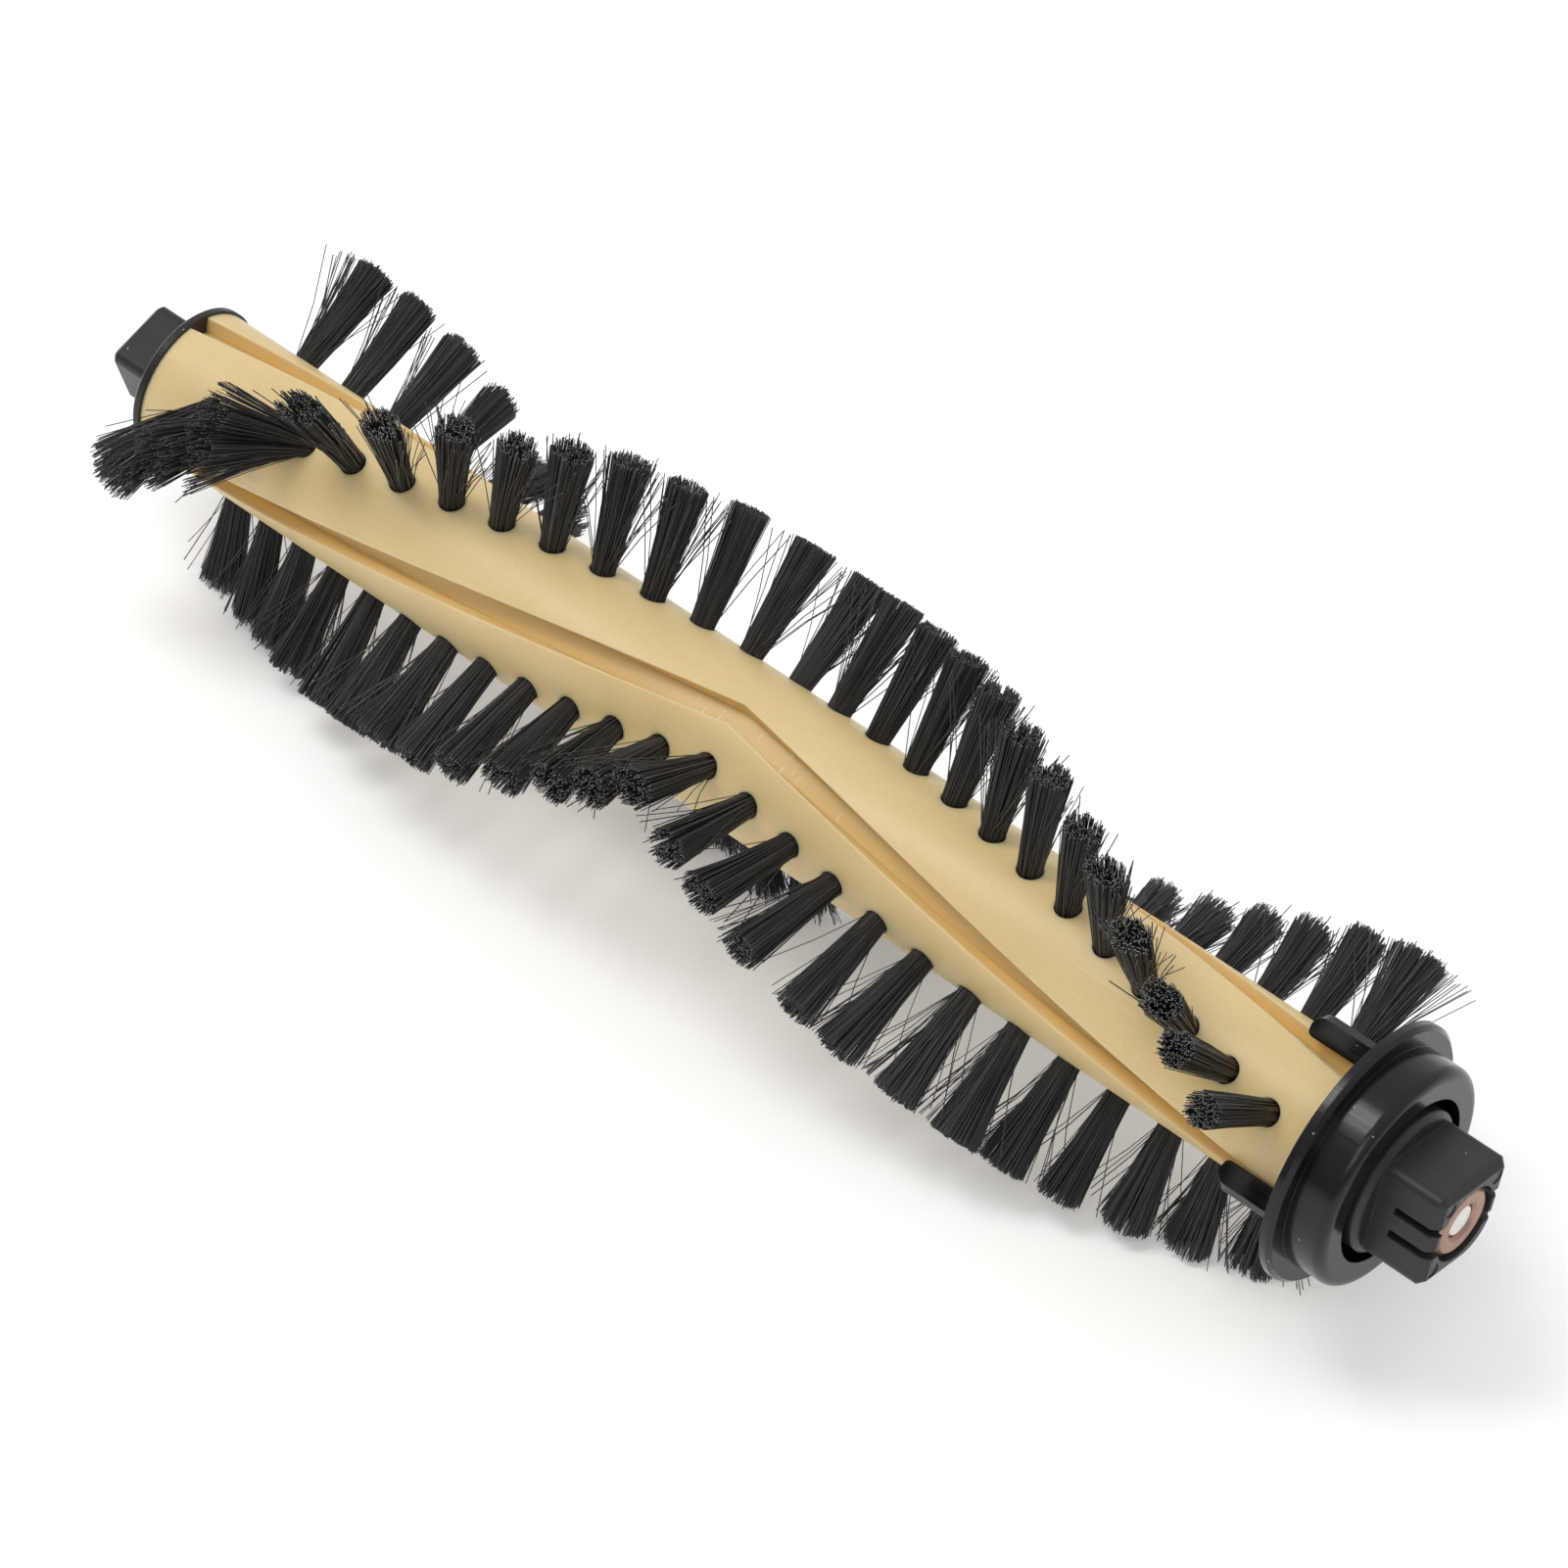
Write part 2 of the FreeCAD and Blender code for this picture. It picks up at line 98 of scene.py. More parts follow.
# %% [markdown]
# ## One bundle of filaments
# A tuft is about a hundred and seventy nylon filaments, folded in half over an anchor and pulled into a
# hole, so three hundred and forty ends stand out. Hair particles could make them, but a hair system can't
# ride on a CAD body, so each end is a thin three-sided tube in a mesh. The tips spread wider than the roots
# and gather in a few clumps. A few strays reach further, most of them to one side of the tuft.

# %% Tips of one tuft
FILAMENTS = 340
BUNDLE_RADIUS = 1.38 * MM
CLUMPS = 9
CLUMP_AREA = 0.8
CLUMPING = 0.14
SCATTER = 0.10 * MM
DRIFT_SHARE = 0.6
STRAY_LEAST = 0.7 * MM
STRAY_MEAN = 1.6 * MM
STRAY_MOST = 5.0 * MM
STRAY_ACROSS = 0.8 * MM


def tuft_tips(rng, spot, lean, spread, strays, drift):
    """Where each filament ends, (along, across) the roller; drift is the side that strays turn to."""
    clumps = rng.uniform(-CLUMP_AREA, CLUMP_AREA, (CLUMPS, 2))
    own_clump = clumps[np.argmin(((spot[:, None] - clumps) ** 2).sum(2), 1)]
    tips = (spot + CLUMPING * (own_clump - spot)) * BUNDLE_RADIUS * np.array(spread) + np.array(lean)
    tips += rng.normal(0, SCATTER, tips.shape)
    stray = rng.uniform(0, 1, FILAMENTS) < strays
    turned = np.where(rng.uniform(0, 1, FILAMENTS) < DRIFT_SHARE, drift, np.sign(spot[:, 0]))
    side = turned * np.minimum(rng.exponential(STRAY_MEAN, FILAMENTS) + STRAY_LEAST, STRAY_MOST)
    tips[:, 0] += np.where(stray, side, 0)
    tips[:, 1] += np.where(stray, rng.normal(0, STRAY_ACROSS, FILAMENTS), 0)
    return tips


print("ends in a tuft", FILAMENTS)

# %% [markdown]
# ## The path of a filament
# A path starts upright in the hole, leaves the core at its own spot and runs nearly straight to its tip.
# All paths keep one length, because the brush was trimmed on a turning roller: a filament that leans
# further out ends lower. Four points are enough, since stiff nylon bends in one slow curve.

# %% Paths of one tuft
FREE_LENGTH = 13.35 * MM
ROOT_DEPTH = 2.52 * MM
BOW = 0.05 * MM
STIFFNESS = 0.05
LEAST_RISE = 0.15


def filament_paths(rng, station, angle, lean, spread, strays, drift):
    """Four points along each filament; lean and spread are (along, across) at the tips."""
    out = np.array((0, math.cos(angle), math.sin(angle)))
    along = np.array((1.0, 0, 0))
    across = np.cross(along, out)
    turn = rng.uniform(0, 2 * math.pi, FILAMENTS)
    reach = np.sqrt(rng.uniform(0, 1, FILAMENTS))
    spot = np.stack((reach * np.cos(turn), reach * np.sin(turn)), 1)
    sideways = tuft_tips(rng, spot, lean, spread, strays, drift) - spot * BUNDLE_RADIUS
    length = FREE_LENGTH + rng.normal(0, SCATTER, FILAMENTS)
    rise = np.sqrt(np.maximum(length ** 2 - (sideways ** 2).sum(1), (LEAST_RISE * length) ** 2))
    root = spot[:, :1] * BUNDLE_RADIUS * along + spot[:, 1:] * BUNDLE_RADIUS * across
    root += np.array((station, 0, 0)) + core_radius * out
    run = sideways[:, :1] * along + sideways[:, 1:] * across + rise[:, None] * out
    bow = rng.normal(0, BOW, (FILAMENTS, 1)) * along + rng.normal(0, BOW, (FILAMENTS, 1)) * across
    bow += STIFFNESS * (length[:, None] * out - run)
    return np.stack((root - ROOT_DEPTH * out, root, root + 0.5 * run + bow, root + run), 1)


print("length of a filament in mm", (FREE_LENGTH + ROOT_DEPTH) / MM)

# %% [markdown]
# ## From paths to a mesh
# Round wires from curve objects would be simple, but one curve per filament is slow to load and heavy. Here
# numpy places three points round each path point and joins them with quads, so twenty-five thousand
# filaments take a second. Two numbers are stored on each point for the material: how far along the filament
# it is, and a random shade for the whole filament. The cut end is its own triangle, stored a little past
# the tip, so that it can be coloured.

# %% Build the tubes
FILAMENT_RADIUS = 0.066 * MM
SIDES = 3
CUT_END = 1.2
FLOOR_CLEARANCE = 0.02 * MM
floor_height = cad_low.z


def tube_mesh(name, paths, rng):
    """A mesh of thin tubes along paths of shape (filaments, points, 3)."""
    count, rings, _ = paths.shape
    ahead = np.gradient(paths, axis=1)
    ahead /= np.linalg.norm(ahead, axis=2, keepdims=True)
    helper = rng.normal(0, 1, (count, 1, 3))
    first = np.cross(ahead, helper)
    first /= np.linalg.norm(first, axis=2, keepdims=True)
    second = np.cross(ahead, first)
    radius = FILAMENT_RADIUS * rng.uniform(0.85, 1.15, (count, 1, 1))
    points = np.empty((count, rings + 1, SIDES, 3))
    for side in range(SIDES):
        turn = 2 * math.pi * side / SIDES
        points[:, :rings, side] = paths + radius * (math.cos(turn) * first + math.sin(turn) * second)
    points[:, rings] = points[:, rings - 1]
    points[..., 2] = np.maximum(points[..., 2], floor_height + FLOOR_CLEARANCE)
    number = np.arange(count * (rings + 1) * SIDES).reshape(count, rings + 1, SIDES)
    ahead_side = np.roll(number, -1, 2)
    walls = np.stack((number[:, :-2], ahead_side[:, :-2], ahead_side[:, 1:-1], number[:, 1:-1]), -1)
    faces = walls.reshape(-1, 4).tolist() + number[:, rings].tolist()
    mesh = bpy.data.meshes.new(name)
    mesh.from_pydata(points.reshape(-1, 3).tolist(), [], faces)
    along = np.broadcast_to(np.append(np.linspace(0, 1, rings), CUT_END)[None, :, None], number.shape)
    shade = np.broadcast_to(rng.uniform(0, 1, (count, 1, 1)), number.shape)
    for attribute, values in (("filament_run", along), ("filament_shade", shade)):
        layer = mesh.attributes.new(attribute, "FLOAT", "POINT")
        layer.data.foreach_set("value", values.astype(np.float32).ravel())
    mesh.shade_smooth()
    return mesh


print("triangles in a tuft", FILAMENTS * (3 * SIDES * 2 + 1))

# %% [markdown]
# ## Every tuft has its own set
# On the real brush most tufts stand straight out, but some have been pressed in the packet: at the drive
# end of the top row three are bent right over the end disc, and the row behind leans up. A random lean for
# all would miss that, so leans are named by wing and number, in millimetres along and across the roller.
# Tufts without one lean a little at random.

# %% Leans of the tufts
LEANS = {
    ("a", "drive"): {1: (-0.4, -0.7), 2: (-1.4, -1.0), 3: (-0.7, 0.8), 4: (-0.8, 0.1), 5: (0.7, 0.8),
                     6: (2.2, 1.0), 7: (1.8, 0.5), 8: (1.1, 1.6)},
    ("a", "bearing"): {1: (0.2, -0.3), 2: (0.7, 0.3), 3: (0.1, -1.0), 4: (0.2, -1.4), 5: (0.3, -0.4),
                       6: (0.5, -0.6), 7: (1.2, -0.4), 8: (0.5, -0.9), 9: (0.9, 0.0), 10: (1.4, 0.5),
                       11: (-0.6, 0.4), 12: (-1.0, 0.8)},
    ("b", "drive"): {1: (1.2, -0.3), 2: (2.4, -1.0), 3: (2.1, -0.7), 4: (1.1, -0.3), 5: (0.7, 0.4),
                     6: (1.3, -1.3), 9: (-1.0, 1.5), 10: (-0.5, 1.5)},
    ("b", "bearing"): {2: (-0.7, -0.1), 3: (-1.1, 0.4), 5: (-1.0, 1.0), 8: (-1.0, 1.0), 9: (-1.1, 0.8),
                       10: (-0.9, 1.1), 11: (-1.0, 1.0), 12: (-0.8, 0.9)},
    ("c", "drive"): {9: (-1.0, 2.7), 10: (-0.4, 4.0), 11: (0.6, 5.0), 12: (0.7, 3.6)},
    ("c", "bearing"): {7: (-2.6, 1.2), 8: (-2.2, -0.3), 9: (-2.4, -0.6), 10: (-2.8, -1.0), 11: (-2.2, -0.4)},
}
LOOSE_LEAN = 0.45
print("tufts with a lean of their own", sum(len(wing) for wing in LEANS.values()))

# %% [markdown]
# ## How full a tuft is
# Wear shows in the outline of a tuft: the other rows have opened more than the top one, and strays point to
# one end of the roller. A few tufts at the ends are splayed wide, and two are still as neat as new. The
# spread at the tips is counted in radii of the hole, along and across the roller.

# %% Spread and strays of the tufts
SPREADS = ((1.60, 1.45), (2.00, 1.75))
STRAY_SHARES = (0.03, 0.12)
FULLNESS = {"a": 1.0, "b": 1.12, "c": 1.05}
STRAY_SIDES = {("b", "drive"): -1, ("b", "apex"): -1, ("b", "bearing"): -1, ("c", "drive"): -1}
OWN_SETS = {
    ("a", "drive", 9): {"lean": (-1.8, 1.8), "spread": (2.5, 1.5), "strays": 0.08},
    ("a", "drive", 10): {"lean": (-4.8, 6.2), "spread": (2.0, 4.8), "strays": 0.03, "drift": -1},
    ("a", "drive", 11): {"lean": (-3.8, 8.8), "spread": (2.8, 2.6), "strays": 0.06, "drift": -1},
    ("a", "drive", 12): {"lean": (-2.8, 10.0), "spread": (3.1, 2.3), "strays": 0.05, "drift": -1},
    ("a", "bearing", 10): {"strays": 0.04, "drift": -1},
    ("a", "bearing", 11): {"strays": 0.0},
    ("a", "bearing", 12): {"strays": 0.0},
    ("b", "drive", 12): {"strays": 0.02},
    ("c", "drive", 12): {"spread": (1.9, 1.3), "strays": 0.16},
    ("c", "bearing", 12): {"lean": (-1.6, -0.5), "spread": (2.6, 1.3), "strays": 0.14},
}


def tuft_set(rng, row, wing, number):
    """How one tuft stands: its lean at the tips in metres, its spread, its strays and their side."""
    loose = rng.normal(0, LOOSE_LEAN, 2)
    found = {
        "lean": LEANS.get((row, wing), {}).get(number, loose),
        "spread": rng.uniform(*SPREADS) * FULLNESS[row],
        "strays": rng.uniform(*STRAY_SHARES),
        "drift": STRAY_SIDES.get((row, wing), 1),
    }
    found.update(OWN_SETS.get((row, wing, number), {}))
    found["lean"] = np.array(found["lean"]) * MM
    return found


print("tufts with a set of their own", len(OWN_SETS))

# %% [markdown]
# ## The rows of bristles
# One object per tuft would be tidy to look at but slow, and one object for all would hide which CAD node it
# stands for. So each wing becomes one mesh, which rides on the roller and replaces the wing's CAD node.

# %% Build the wings
def bristle_wing(row, wing):
    """One object with every filament of a wing, standing for the CAD node of that wing."""
    rng = np.random.default_rng(sum(ord(letter) for letter in row + wing))
    paths = []
    for number, (station, angle) in enumerate(places[row, wing], start=1):
        paths.append(filament_paths(rng, station, angle, **tuft_set(rng, row, wing, number)))
    mesh = tube_mesh("bristles_%s_%s" % (row, wing), np.concatenate(paths), rng)
    piece = bpy.data.objects.new(mesh.name, mesh)
    bpy.context.scene.collection.objects.link(piece)
    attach(piece, "roller")
    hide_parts("tufts_%s_%s" % (row, wing))
    return piece


bristles = [bristle_wing(row, wing) for row in ROWS for wing in WINGS]
print("filaments", sum(len(wing) for wing in places.values()) * FILAMENTS)

# %% [markdown]
# ## Shared effects as node groups
# Moulded plastic is never perfectly even: it has a fine grain from the mould, it picks up dust, and its
# edges are rounded and worn. Each of these shows on more than one material, so each is a node group made
# once. A group hands out only values and normals; the shader that uses them stays in the material.

# %% Node helpers
def add(tree, kind, **values):
    """A node with inputs and settings given by name; spaces in a name are written as _."""
    node = tree.nodes.new("ShaderNode" + kind)
    for name, value in values.items():
        label = name.replace("_", " ")
        if label in node.inputs:
            node.inputs[label].default_value = value
        else:
            setattr(node, name, value)
    return node


def ranged(tree, value, from_low, from_high, to_low, to_high):
    """A socket's value moved from one range to another."""
    step = add(tree, "MapRange", From_Min=from_low, From_Max=from_high, To_Min=to_low, To_Max=to_high)
    tree.links.new(value, step.inputs["Value"])
    return step.outputs["Result"]


def times(tree, first, second):
    """The product of two sockets."""
    product = add(tree, "Math", operation="MULTIPLY")
    tree.links.new(first, product.inputs[0])
    tree.links.new(second, product.inputs[1])
    return product.outputs[0]


def new_group(name, inputs, outputs):
    """A node group with float inputs and outputs of the given kinds; gives the group, its entry and exit."""
    group = bpy.data.node_groups.new(name, "ShaderNodeTree")
    for label, value in inputs.items():
        made = group.interface.new_socket(label, in_out="INPUT", socket_type="NodeSocketFloat")
        made.default_value = value
    for label, kind in outputs.items():
        group.interface.new_socket(label, in_out="OUTPUT", socket_type="NodeSocket" + kind)
    return group, group.nodes.new("NodeGroupInput"), group.nodes.new("NodeGroupOutput")


# %% Mould grain
LINE_SCALE = (60.0, 4000.0, 4000.0)


def mould_grain():
    """Fine pits from a spark-worn mould, slow cloudy changes, and thin lines along the roller."""
    group, entry, leave = new_group("mould grain", {"Grain Size": 2500.0, "Cloud Size": 90.0},
                                    {"Pits": "Float", "Clouds": "Float", "Lines": "Float"})
    place = add(group, "TexCoord")
    stretched = add(group, "Mapping", Scale=LINE_SCALE)
    lines = add(group, "TexNoise", Scale=1.0, Detail=2.0)
    group.links.new(place.outputs["Object"], stretched.inputs["Vector"])
    group.links.new(stretched.outputs["Vector"], lines.inputs["Vector"])
    group.links.new(lines.outputs["Fac"], leave.inputs["Lines"])
    pits = add(group, "TexNoise", Detail=3.0, Roughness=0.6)
    clouds = add(group, "TexNoise", Detail=4.0, Roughness=0.55)
    for noise, size, result in ((pits, "Grain Size", "Pits"), (clouds, "Cloud Size", "Clouds")):
        group.links.new(place.outputs["Object"], noise.inputs["Vector"])
        group.links.new(entry.outputs[size], noise.inputs["Scale"])
        group.links.new(noise.outputs["Fac"], leave.inputs[result])
    return group


GRAIN = mould_grain()
print("group", GRAIN.name)


# %% Dust specks
def dust_specks():
    """Small bright specks, far apart: the middles of random cells, kept only in some cells."""
    group, entry, leave = new_group("dust specks", {"Spacing": 700.0, "Speck Size": 0.06, "Share": 0.12},
                                    {"Mask": "Float"})
    place = add(group, "TexCoord")
    cells = add(group, "TexVoronoi")
    group.links.new(place.outputs["Object"], cells.inputs["Vector"])
    group.links.new(entry.outputs["Spacing"], cells.inputs["Scale"])
    near = add(group, "Math", operation="LESS_THAN")
    group.links.new(cells.outputs["Distance"], near.inputs[0])
    group.links.new(entry.outputs["Speck Size"], near.inputs[1])
    parts = add(group, "SeparateColor")
    group.links.new(cells.outputs["Color"], parts.inputs["Color"])
    kept = add(group, "Math", operation="LESS_THAN")
    group.links.new(parts.outputs["Red"], kept.inputs[0])
    group.links.new(entry.outputs["Share"], kept.inputs[1])
    group.links.new(times(group, near.outputs[0], kept.outputs[0]), leave.inputs["Mask"])
    return group


SPECKS = dust_specks()
print("group", SPECKS.name)


# %% Rounded edges
def rounded_edges():
    """Normals rounded at the edges, and a mask of where they turn away from the face's own normal."""
    group, entry, leave = new_group("rounded edges", {"Radius": 0.2 * MM},
                                    {"Mask": "Float", "Normal": "Vector"})
    bevel = add(group, "Bevel", samples=2)
    group.links.new(entry.outputs["Radius"], bevel.inputs["Radius"])
    face = add(group, "NewGeometry")
    alike = add(group, "VectorMath", operation="DOT_PRODUCT")
    group.links.new(bevel.outputs["Normal"], alike.inputs[0])
    group.links.new(face.outputs["Normal"], alike.inputs[1])
    group.links.new(ranged(group, alike.outputs["Value"], 0.995, 0.90, 0, 1), leave.inputs["Mask"])
    group.links.new(bevel.outputs["Normal"], leave.inputs["Normal"])
    return group


EDGES = rounded_edges()
print("group", EDGES.name)


# %% Material helpers
def new_material(name, **shader_values):
    """A node material; gives the material, its tree and its Principled shader."""
    material = bpy.data.materials.new(name)
    material.use_nodes = True
    shader = material.node_tree.nodes["Principled BSDF"]
    for socket_name, value in shader_values.items():
        shader.inputs[socket_name.replace("_", " ")].default_value = value
    return material, material.node_tree, shader


def place_group(tree, group, **values):
    """A node that uses a group with its own values."""
    node = tree.nodes.new("ShaderNodeGroup")
    node.node_tree = group
    for name, value in values.items():
        node.inputs[name.replace("_", " ")].default_value = value
    return node


def blend_colour(tree, factor, low, high):
    """Mix two colours by a socket's value; either colour may be a socket too."""
    mix = add(tree, "Mix", data_type="RGBA")
    tree.links.new(factor, mix.inputs["Factor"])
    for slot_name, colour in (("A", low), ("B", high)):
        target = [s for s in mix.inputs if s.name == slot_name and s.type == "RGBA"][0]
        if isinstance(colour, bpy.types.NodeSocket):
            tree.links.new(colour, target)
        else:
            target.default_value = (*colour, 1.0)
    return [s for s in mix.outputs if s.type == "RGBA"][0]


def moulded_skin(tree, shader, grain, edges, strength, depth):
    """The shader's normal: rounded at the edges, then pitted by the grain."""
    bump = add(tree, "Bump", Strength=strength, Distance=depth)
    tree.links.new(grain.outputs["Pits"], bump.inputs["Height"])
    tree.links.new(edges.outputs["Normal"], bump.inputs["Normal"])
    tree.links.new(bump.outputs["Normal"], shader.inputs["Normal"])


def dress(piece, material):
    """Give a piece one material in place of those it came with."""
    piece.data.materials.clear()
    piece.data.materials.append(material)
    print(piece.name, "wears", material.name)


# %% [markdown]
# ## Beige core: the open faces
# The core is moulded in a pale, slightly see-through plastic. One flat colour would look like paint. The
# clouds of the grain group shift the beige a little along the plain faces, its pits add paler speckles, and
# its lines become fine scuffs in some places, where the brush has been wiped.

# %% Colour of the open faces
CORE_SHADES = (0.668, 0.512, 0.246), (0.712, 0.556, 0.286)
CORE_SPECKLE = (0.780, 0.630, 0.370)
CORE_SCUFF = (0.820, 0.690, 0.450)


def core_face(tree, grain):
    """Cloudy beige with paler speckles and fine scuffs along the roller."""
    cloudy = blend_colour(tree, ranged(tree, grain.outputs["Clouds"], 0.3, 0.7, 0, 1), *CORE_SHADES)
    speckles = ranged(tree, grain.outputs["Pits"], 0.5, 0.75, 0, 0.5)
    speckled = blend_colour(tree, speckles, cloudy, CORE_SPECKLE)
    scuffs = times(tree, ranged(tree, grain.outputs["Lines"], 0.62, 0.70, 0, 0.4),
                   ranged(tree, grain.outputs["Clouds"], 0.50, 0.60, 0, 1))
    return blend_colour(tree, scuffs, speckled, CORE_SCUFF)


print("beige", CORE_SHADES)

# %% [markdown]
# ## Beige core: painted light in the grooves
# In the grooves the light passes through the plastic and bounces between the walls. Here that light is
# painted into the colour: a warm ochre bounce on the walls and in the corners, painted shade on the duller
# floors, and a painted highlight on the pale lips. A mask drawn in an image would have to follow the
# chevrons. The shader knows the place anyway: the distance from the axis tells the floor from the face, and
# ambient occlusion tells a corner from an open place. Close to the apex the mould's inserts have left short
# marks across the floor.

# %% Marks on the groove floors
def from_axis(tree):
    """The place on the roller: its Object coordinates, its station and its distance from the axis."""
    place = add(tree, "TexCoord")
    split = add(tree, "SeparateXYZ")
    tree.links.new(place.outputs["Object"], split.inputs["Vector"])
    across = add(tree, "CombineXYZ")
    tree.links.new(split.outputs["Y"], across.inputs["Y"])
    tree.links.new(split.outputs["Z"], across.inputs["Z"])
    reach = add(tree, "VectorMath", operation="LENGTH")
    tree.links.new(across.outputs["Vector"], reach.inputs[0])
    return place.outputs["Object"], split.outputs["X"], reach.outputs["Value"]


INSERT_STATION = places["a", "apex"][0][0] + 6 * MM


def floor_ticks(tree, place, station, floor):
    """Thin broken lines across the floors of the grooves, where the mould's inserts meet."""
    lines = add(tree, "TexNoise", noise_dimensions="1D", Scale=2100.0, Detail=1.0)
    tree.links.new(station, lines.inputs["W"])
    breaks = add(tree, "TexNoise", Scale=900.0, Detail=1.0)
    tree.links.new(place, breaks.inputs["Vector"])
    beyond = add(tree, "Math", operation="SUBTRACT")
    tree.links.new(station, beyond.inputs[0])
    beyond.inputs[1].default_value = INSERT_STATION
    away = add(tree, "Math", operation="ABSOLUTE")
    tree.links.new(beyond.outputs[0], away.inputs[0])
    thin = times(tree, ranged(tree, lines.outputs["Fac"], 0.66, 0.72, 0, 0.6),
                 ranged(tree, breaks.outputs["Fac"], 0.50, 0.60, 0, 1))
    return times(tree, thin, times(tree, ranged(tree, away.outputs[0], 10 * MM, 15 * MM, 1, 0), floor))


print("marks near station in mm", round(INSERT_STATION / MM, 1))

# %% Painted light and shade in the grooves
# Painted light: bounce on the walls and corners, shade on the floors, highlight on the lips; the insert
# marks are real.
PAINTED_WALL_BOUNCE = (0.900, 0.560, 0.110)
PAINTED_CORNER_BOUNCE = (0.780, 0.490, 0.120)
PAINTED_FLOOR_SHADE = (0.575, 0.452, 0.245)
PAINTED_LIP_HIGHLIGHT = (0.880, 0.760, 0.520)
INSERT_MARK = (0.86, 0.77, 0.60)
GROOVE_REACH = 2.2 * MM
FLOOR_TOP = core_radius - 1.5 * MM
FLOOR_DEEP = core_radius - 1.8 * MM
WALL_FOOT = core_radius - 1.9 * MM


def groove_light_and_marks(tree, face, edges):
    """The face's colour with painted bounce, shade and lip highlights in the grooves, and the insert marks.
    """
    hollow = add(tree, "AmbientOcclusion", samples=2, only_local=True, Distance=GROOVE_REACH).outputs["AO"]
    place, station, reach = from_axis(tree)
    # Painted bounce light: ochre on the walls where ambient occlusion finds a hollow.
    wall_bounce = times(tree, ranged(tree, hollow, 0.35, 0.90, 1, 0),
                 ranged(tree, reach, WALL_FOOT, FLOOR_TOP, 0, 1))
    bounced = blend_colour(tree, wall_bounce, face, PAINTED_WALL_BOUNCE)
    # Painted shade on the groove floors, turning to painted warm bounce in the deepest corners.
    floor = ranged(tree, reach, FLOOR_DEEP, FLOOR_TOP, 0.9, 0)
    floor_shade = blend_colour(tree, ranged(tree, hollow, 0.40, 0.68, 0, 1), PAINTED_CORNER_BOUNCE, PAINTED_FLOOR_SHADE)
    shaded_floor = blend_colour(tree, floor, bounced, floor_shade)
    # Painted highlight on the convex lips of the grooves and the rims of the holes.
    lip_highlight = times(tree, edges.outputs["Mask"], ranged(tree, hollow, 0.7, 0.9, 0, 0.8))
    lip_lit = blend_colour(tree, lip_highlight, shaded_floor, PAINTED_LIP_HIGHLIGHT)
    return blend_colour(tree, floor_ticks(tree, place, station, floor), lip_lit, INSERT_MARK)


print("groove floor in mm from the axis", round(FLOOR_DEEP / MM, 2))

# %% [markdown]
# ## Beige core: the plastic
# Light enters this plastic and comes out warmer nearby, which keeps the grooves from going grey. Brighter
# colours alone would look flat, so subsurface scattering does it, over about a millimetre, with red
# travelling furthest. The warm bounce painted into the grooves' colour adds to it.

# %% Core material
def core_plastic():
    """The core's plastic: soft, satin, warm in its depth."""
    material, tree, shader = new_material(
        "core_beige", Subsurface_Weight=0.60, Subsurface_Radius=(1.0, 0.55, 0.22), Subsurface_Scale=1.3 * MM,
        Specular_IOR_Level=0.40)
    grain = place_group(tree, GRAIN, Grain_Size=3600.0, Cloud_Size=60.0)
    edges = place_group(tree, EDGES, Radius=0.45 * MM)
    tree.links.new(groove_light_and_marks(tree, core_face(tree, grain), edges), shader.inputs["Base Color"])
    tree.links.new(ranged(tree, grain.outputs["Clouds"], 0.3, 0.7, 0.36, 0.46), shader.inputs["Roughness"])
    moulded_skin(tree, shader, grain, edges, 0.05, 0.05 * MM)
    return material


dress(nodes["roller_core"], core_plastic())

# %% [markdown]
# ## Black plastic
# The caps and the block are black mouldings with a satin skin; the bearing cap is the glossiest. Three
# things keep them from looking like flat ink: the mould's rounded edges catch a bright line, a painted
# highlight of paler grey lies along the edges in patches, and dust sits on the faces. Real fillets would
# cost many faces, so the group of rounded edges bends the shading instead, and its mask also says where the
# painted edge highlight goes.

# %% Black plastic materials
PAINTED_EDGE_HIGHLIGHT = (0.13, 0.13, 0.13)
DUST = (0.35, 0.34, 0.33)


def black_plastic(name, colour, roughness, dusty, rounding):
    """A black moulding; dusty is the share of cells with a speck, rounding the radius of its edges."""
    material, tree, shader = new_material(name, Specular_IOR_Level=0.34)
    grain = place_group(tree, GRAIN, Grain_Size=3200.0, Cloud_Size=140.0)
    specks = place_group(tree, SPECKS, Spacing=900.0, Speck_Size=0.10, Share=dusty)
    edges = place_group(tree, EDGES, Radius=rounding)
    tone = blend_colour(tree, ranged(tree, grain.outputs["Clouds"], 0.3, 0.7, 0, 1),
                        colour, tuple(1.5 * c for c in colour))
    # Painted highlight: paler grey along the rounded edges, broken into patches by the grain.
    edge_highlight = times(tree, edges.outputs["Mask"], ranged(tree, grain.outputs["Pits"], 0.50, 0.62, 0, 0.6))
    edge_lit = blend_colour(tree, edge_highlight, tone, PAINTED_EDGE_HIGHLIGHT)
    tree.links.new(blend_colour(tree, specks.outputs["Mask"], edge_lit, DUST), shader.inputs["Base Color"])
    tree.links.new(ranged(tree, grain.outputs["Lines"], 0.35, 0.65, roughness, roughness + 0.14),
                   shader.inputs["Roughness"])
    moulded_skin(tree, shader, grain, edges, 0.12, 0.04 * MM)
    return material


dress(nodes["drive_cap"], black_plastic("peg_black", (0.013, 0.013, 0.013), 0.30, 0.10, 0.35 * MM))
dress(nodes["bearing_cap"], black_plastic("cap_black", (0.005, 0.005, 0.006), 0.13, 0.12, 0.18 * MM))
dress(nodes["bearing_block"], black_plastic("block_black", (0.018, 0.018, 0.019), 0.32, 0.08, 0.35 * MM))

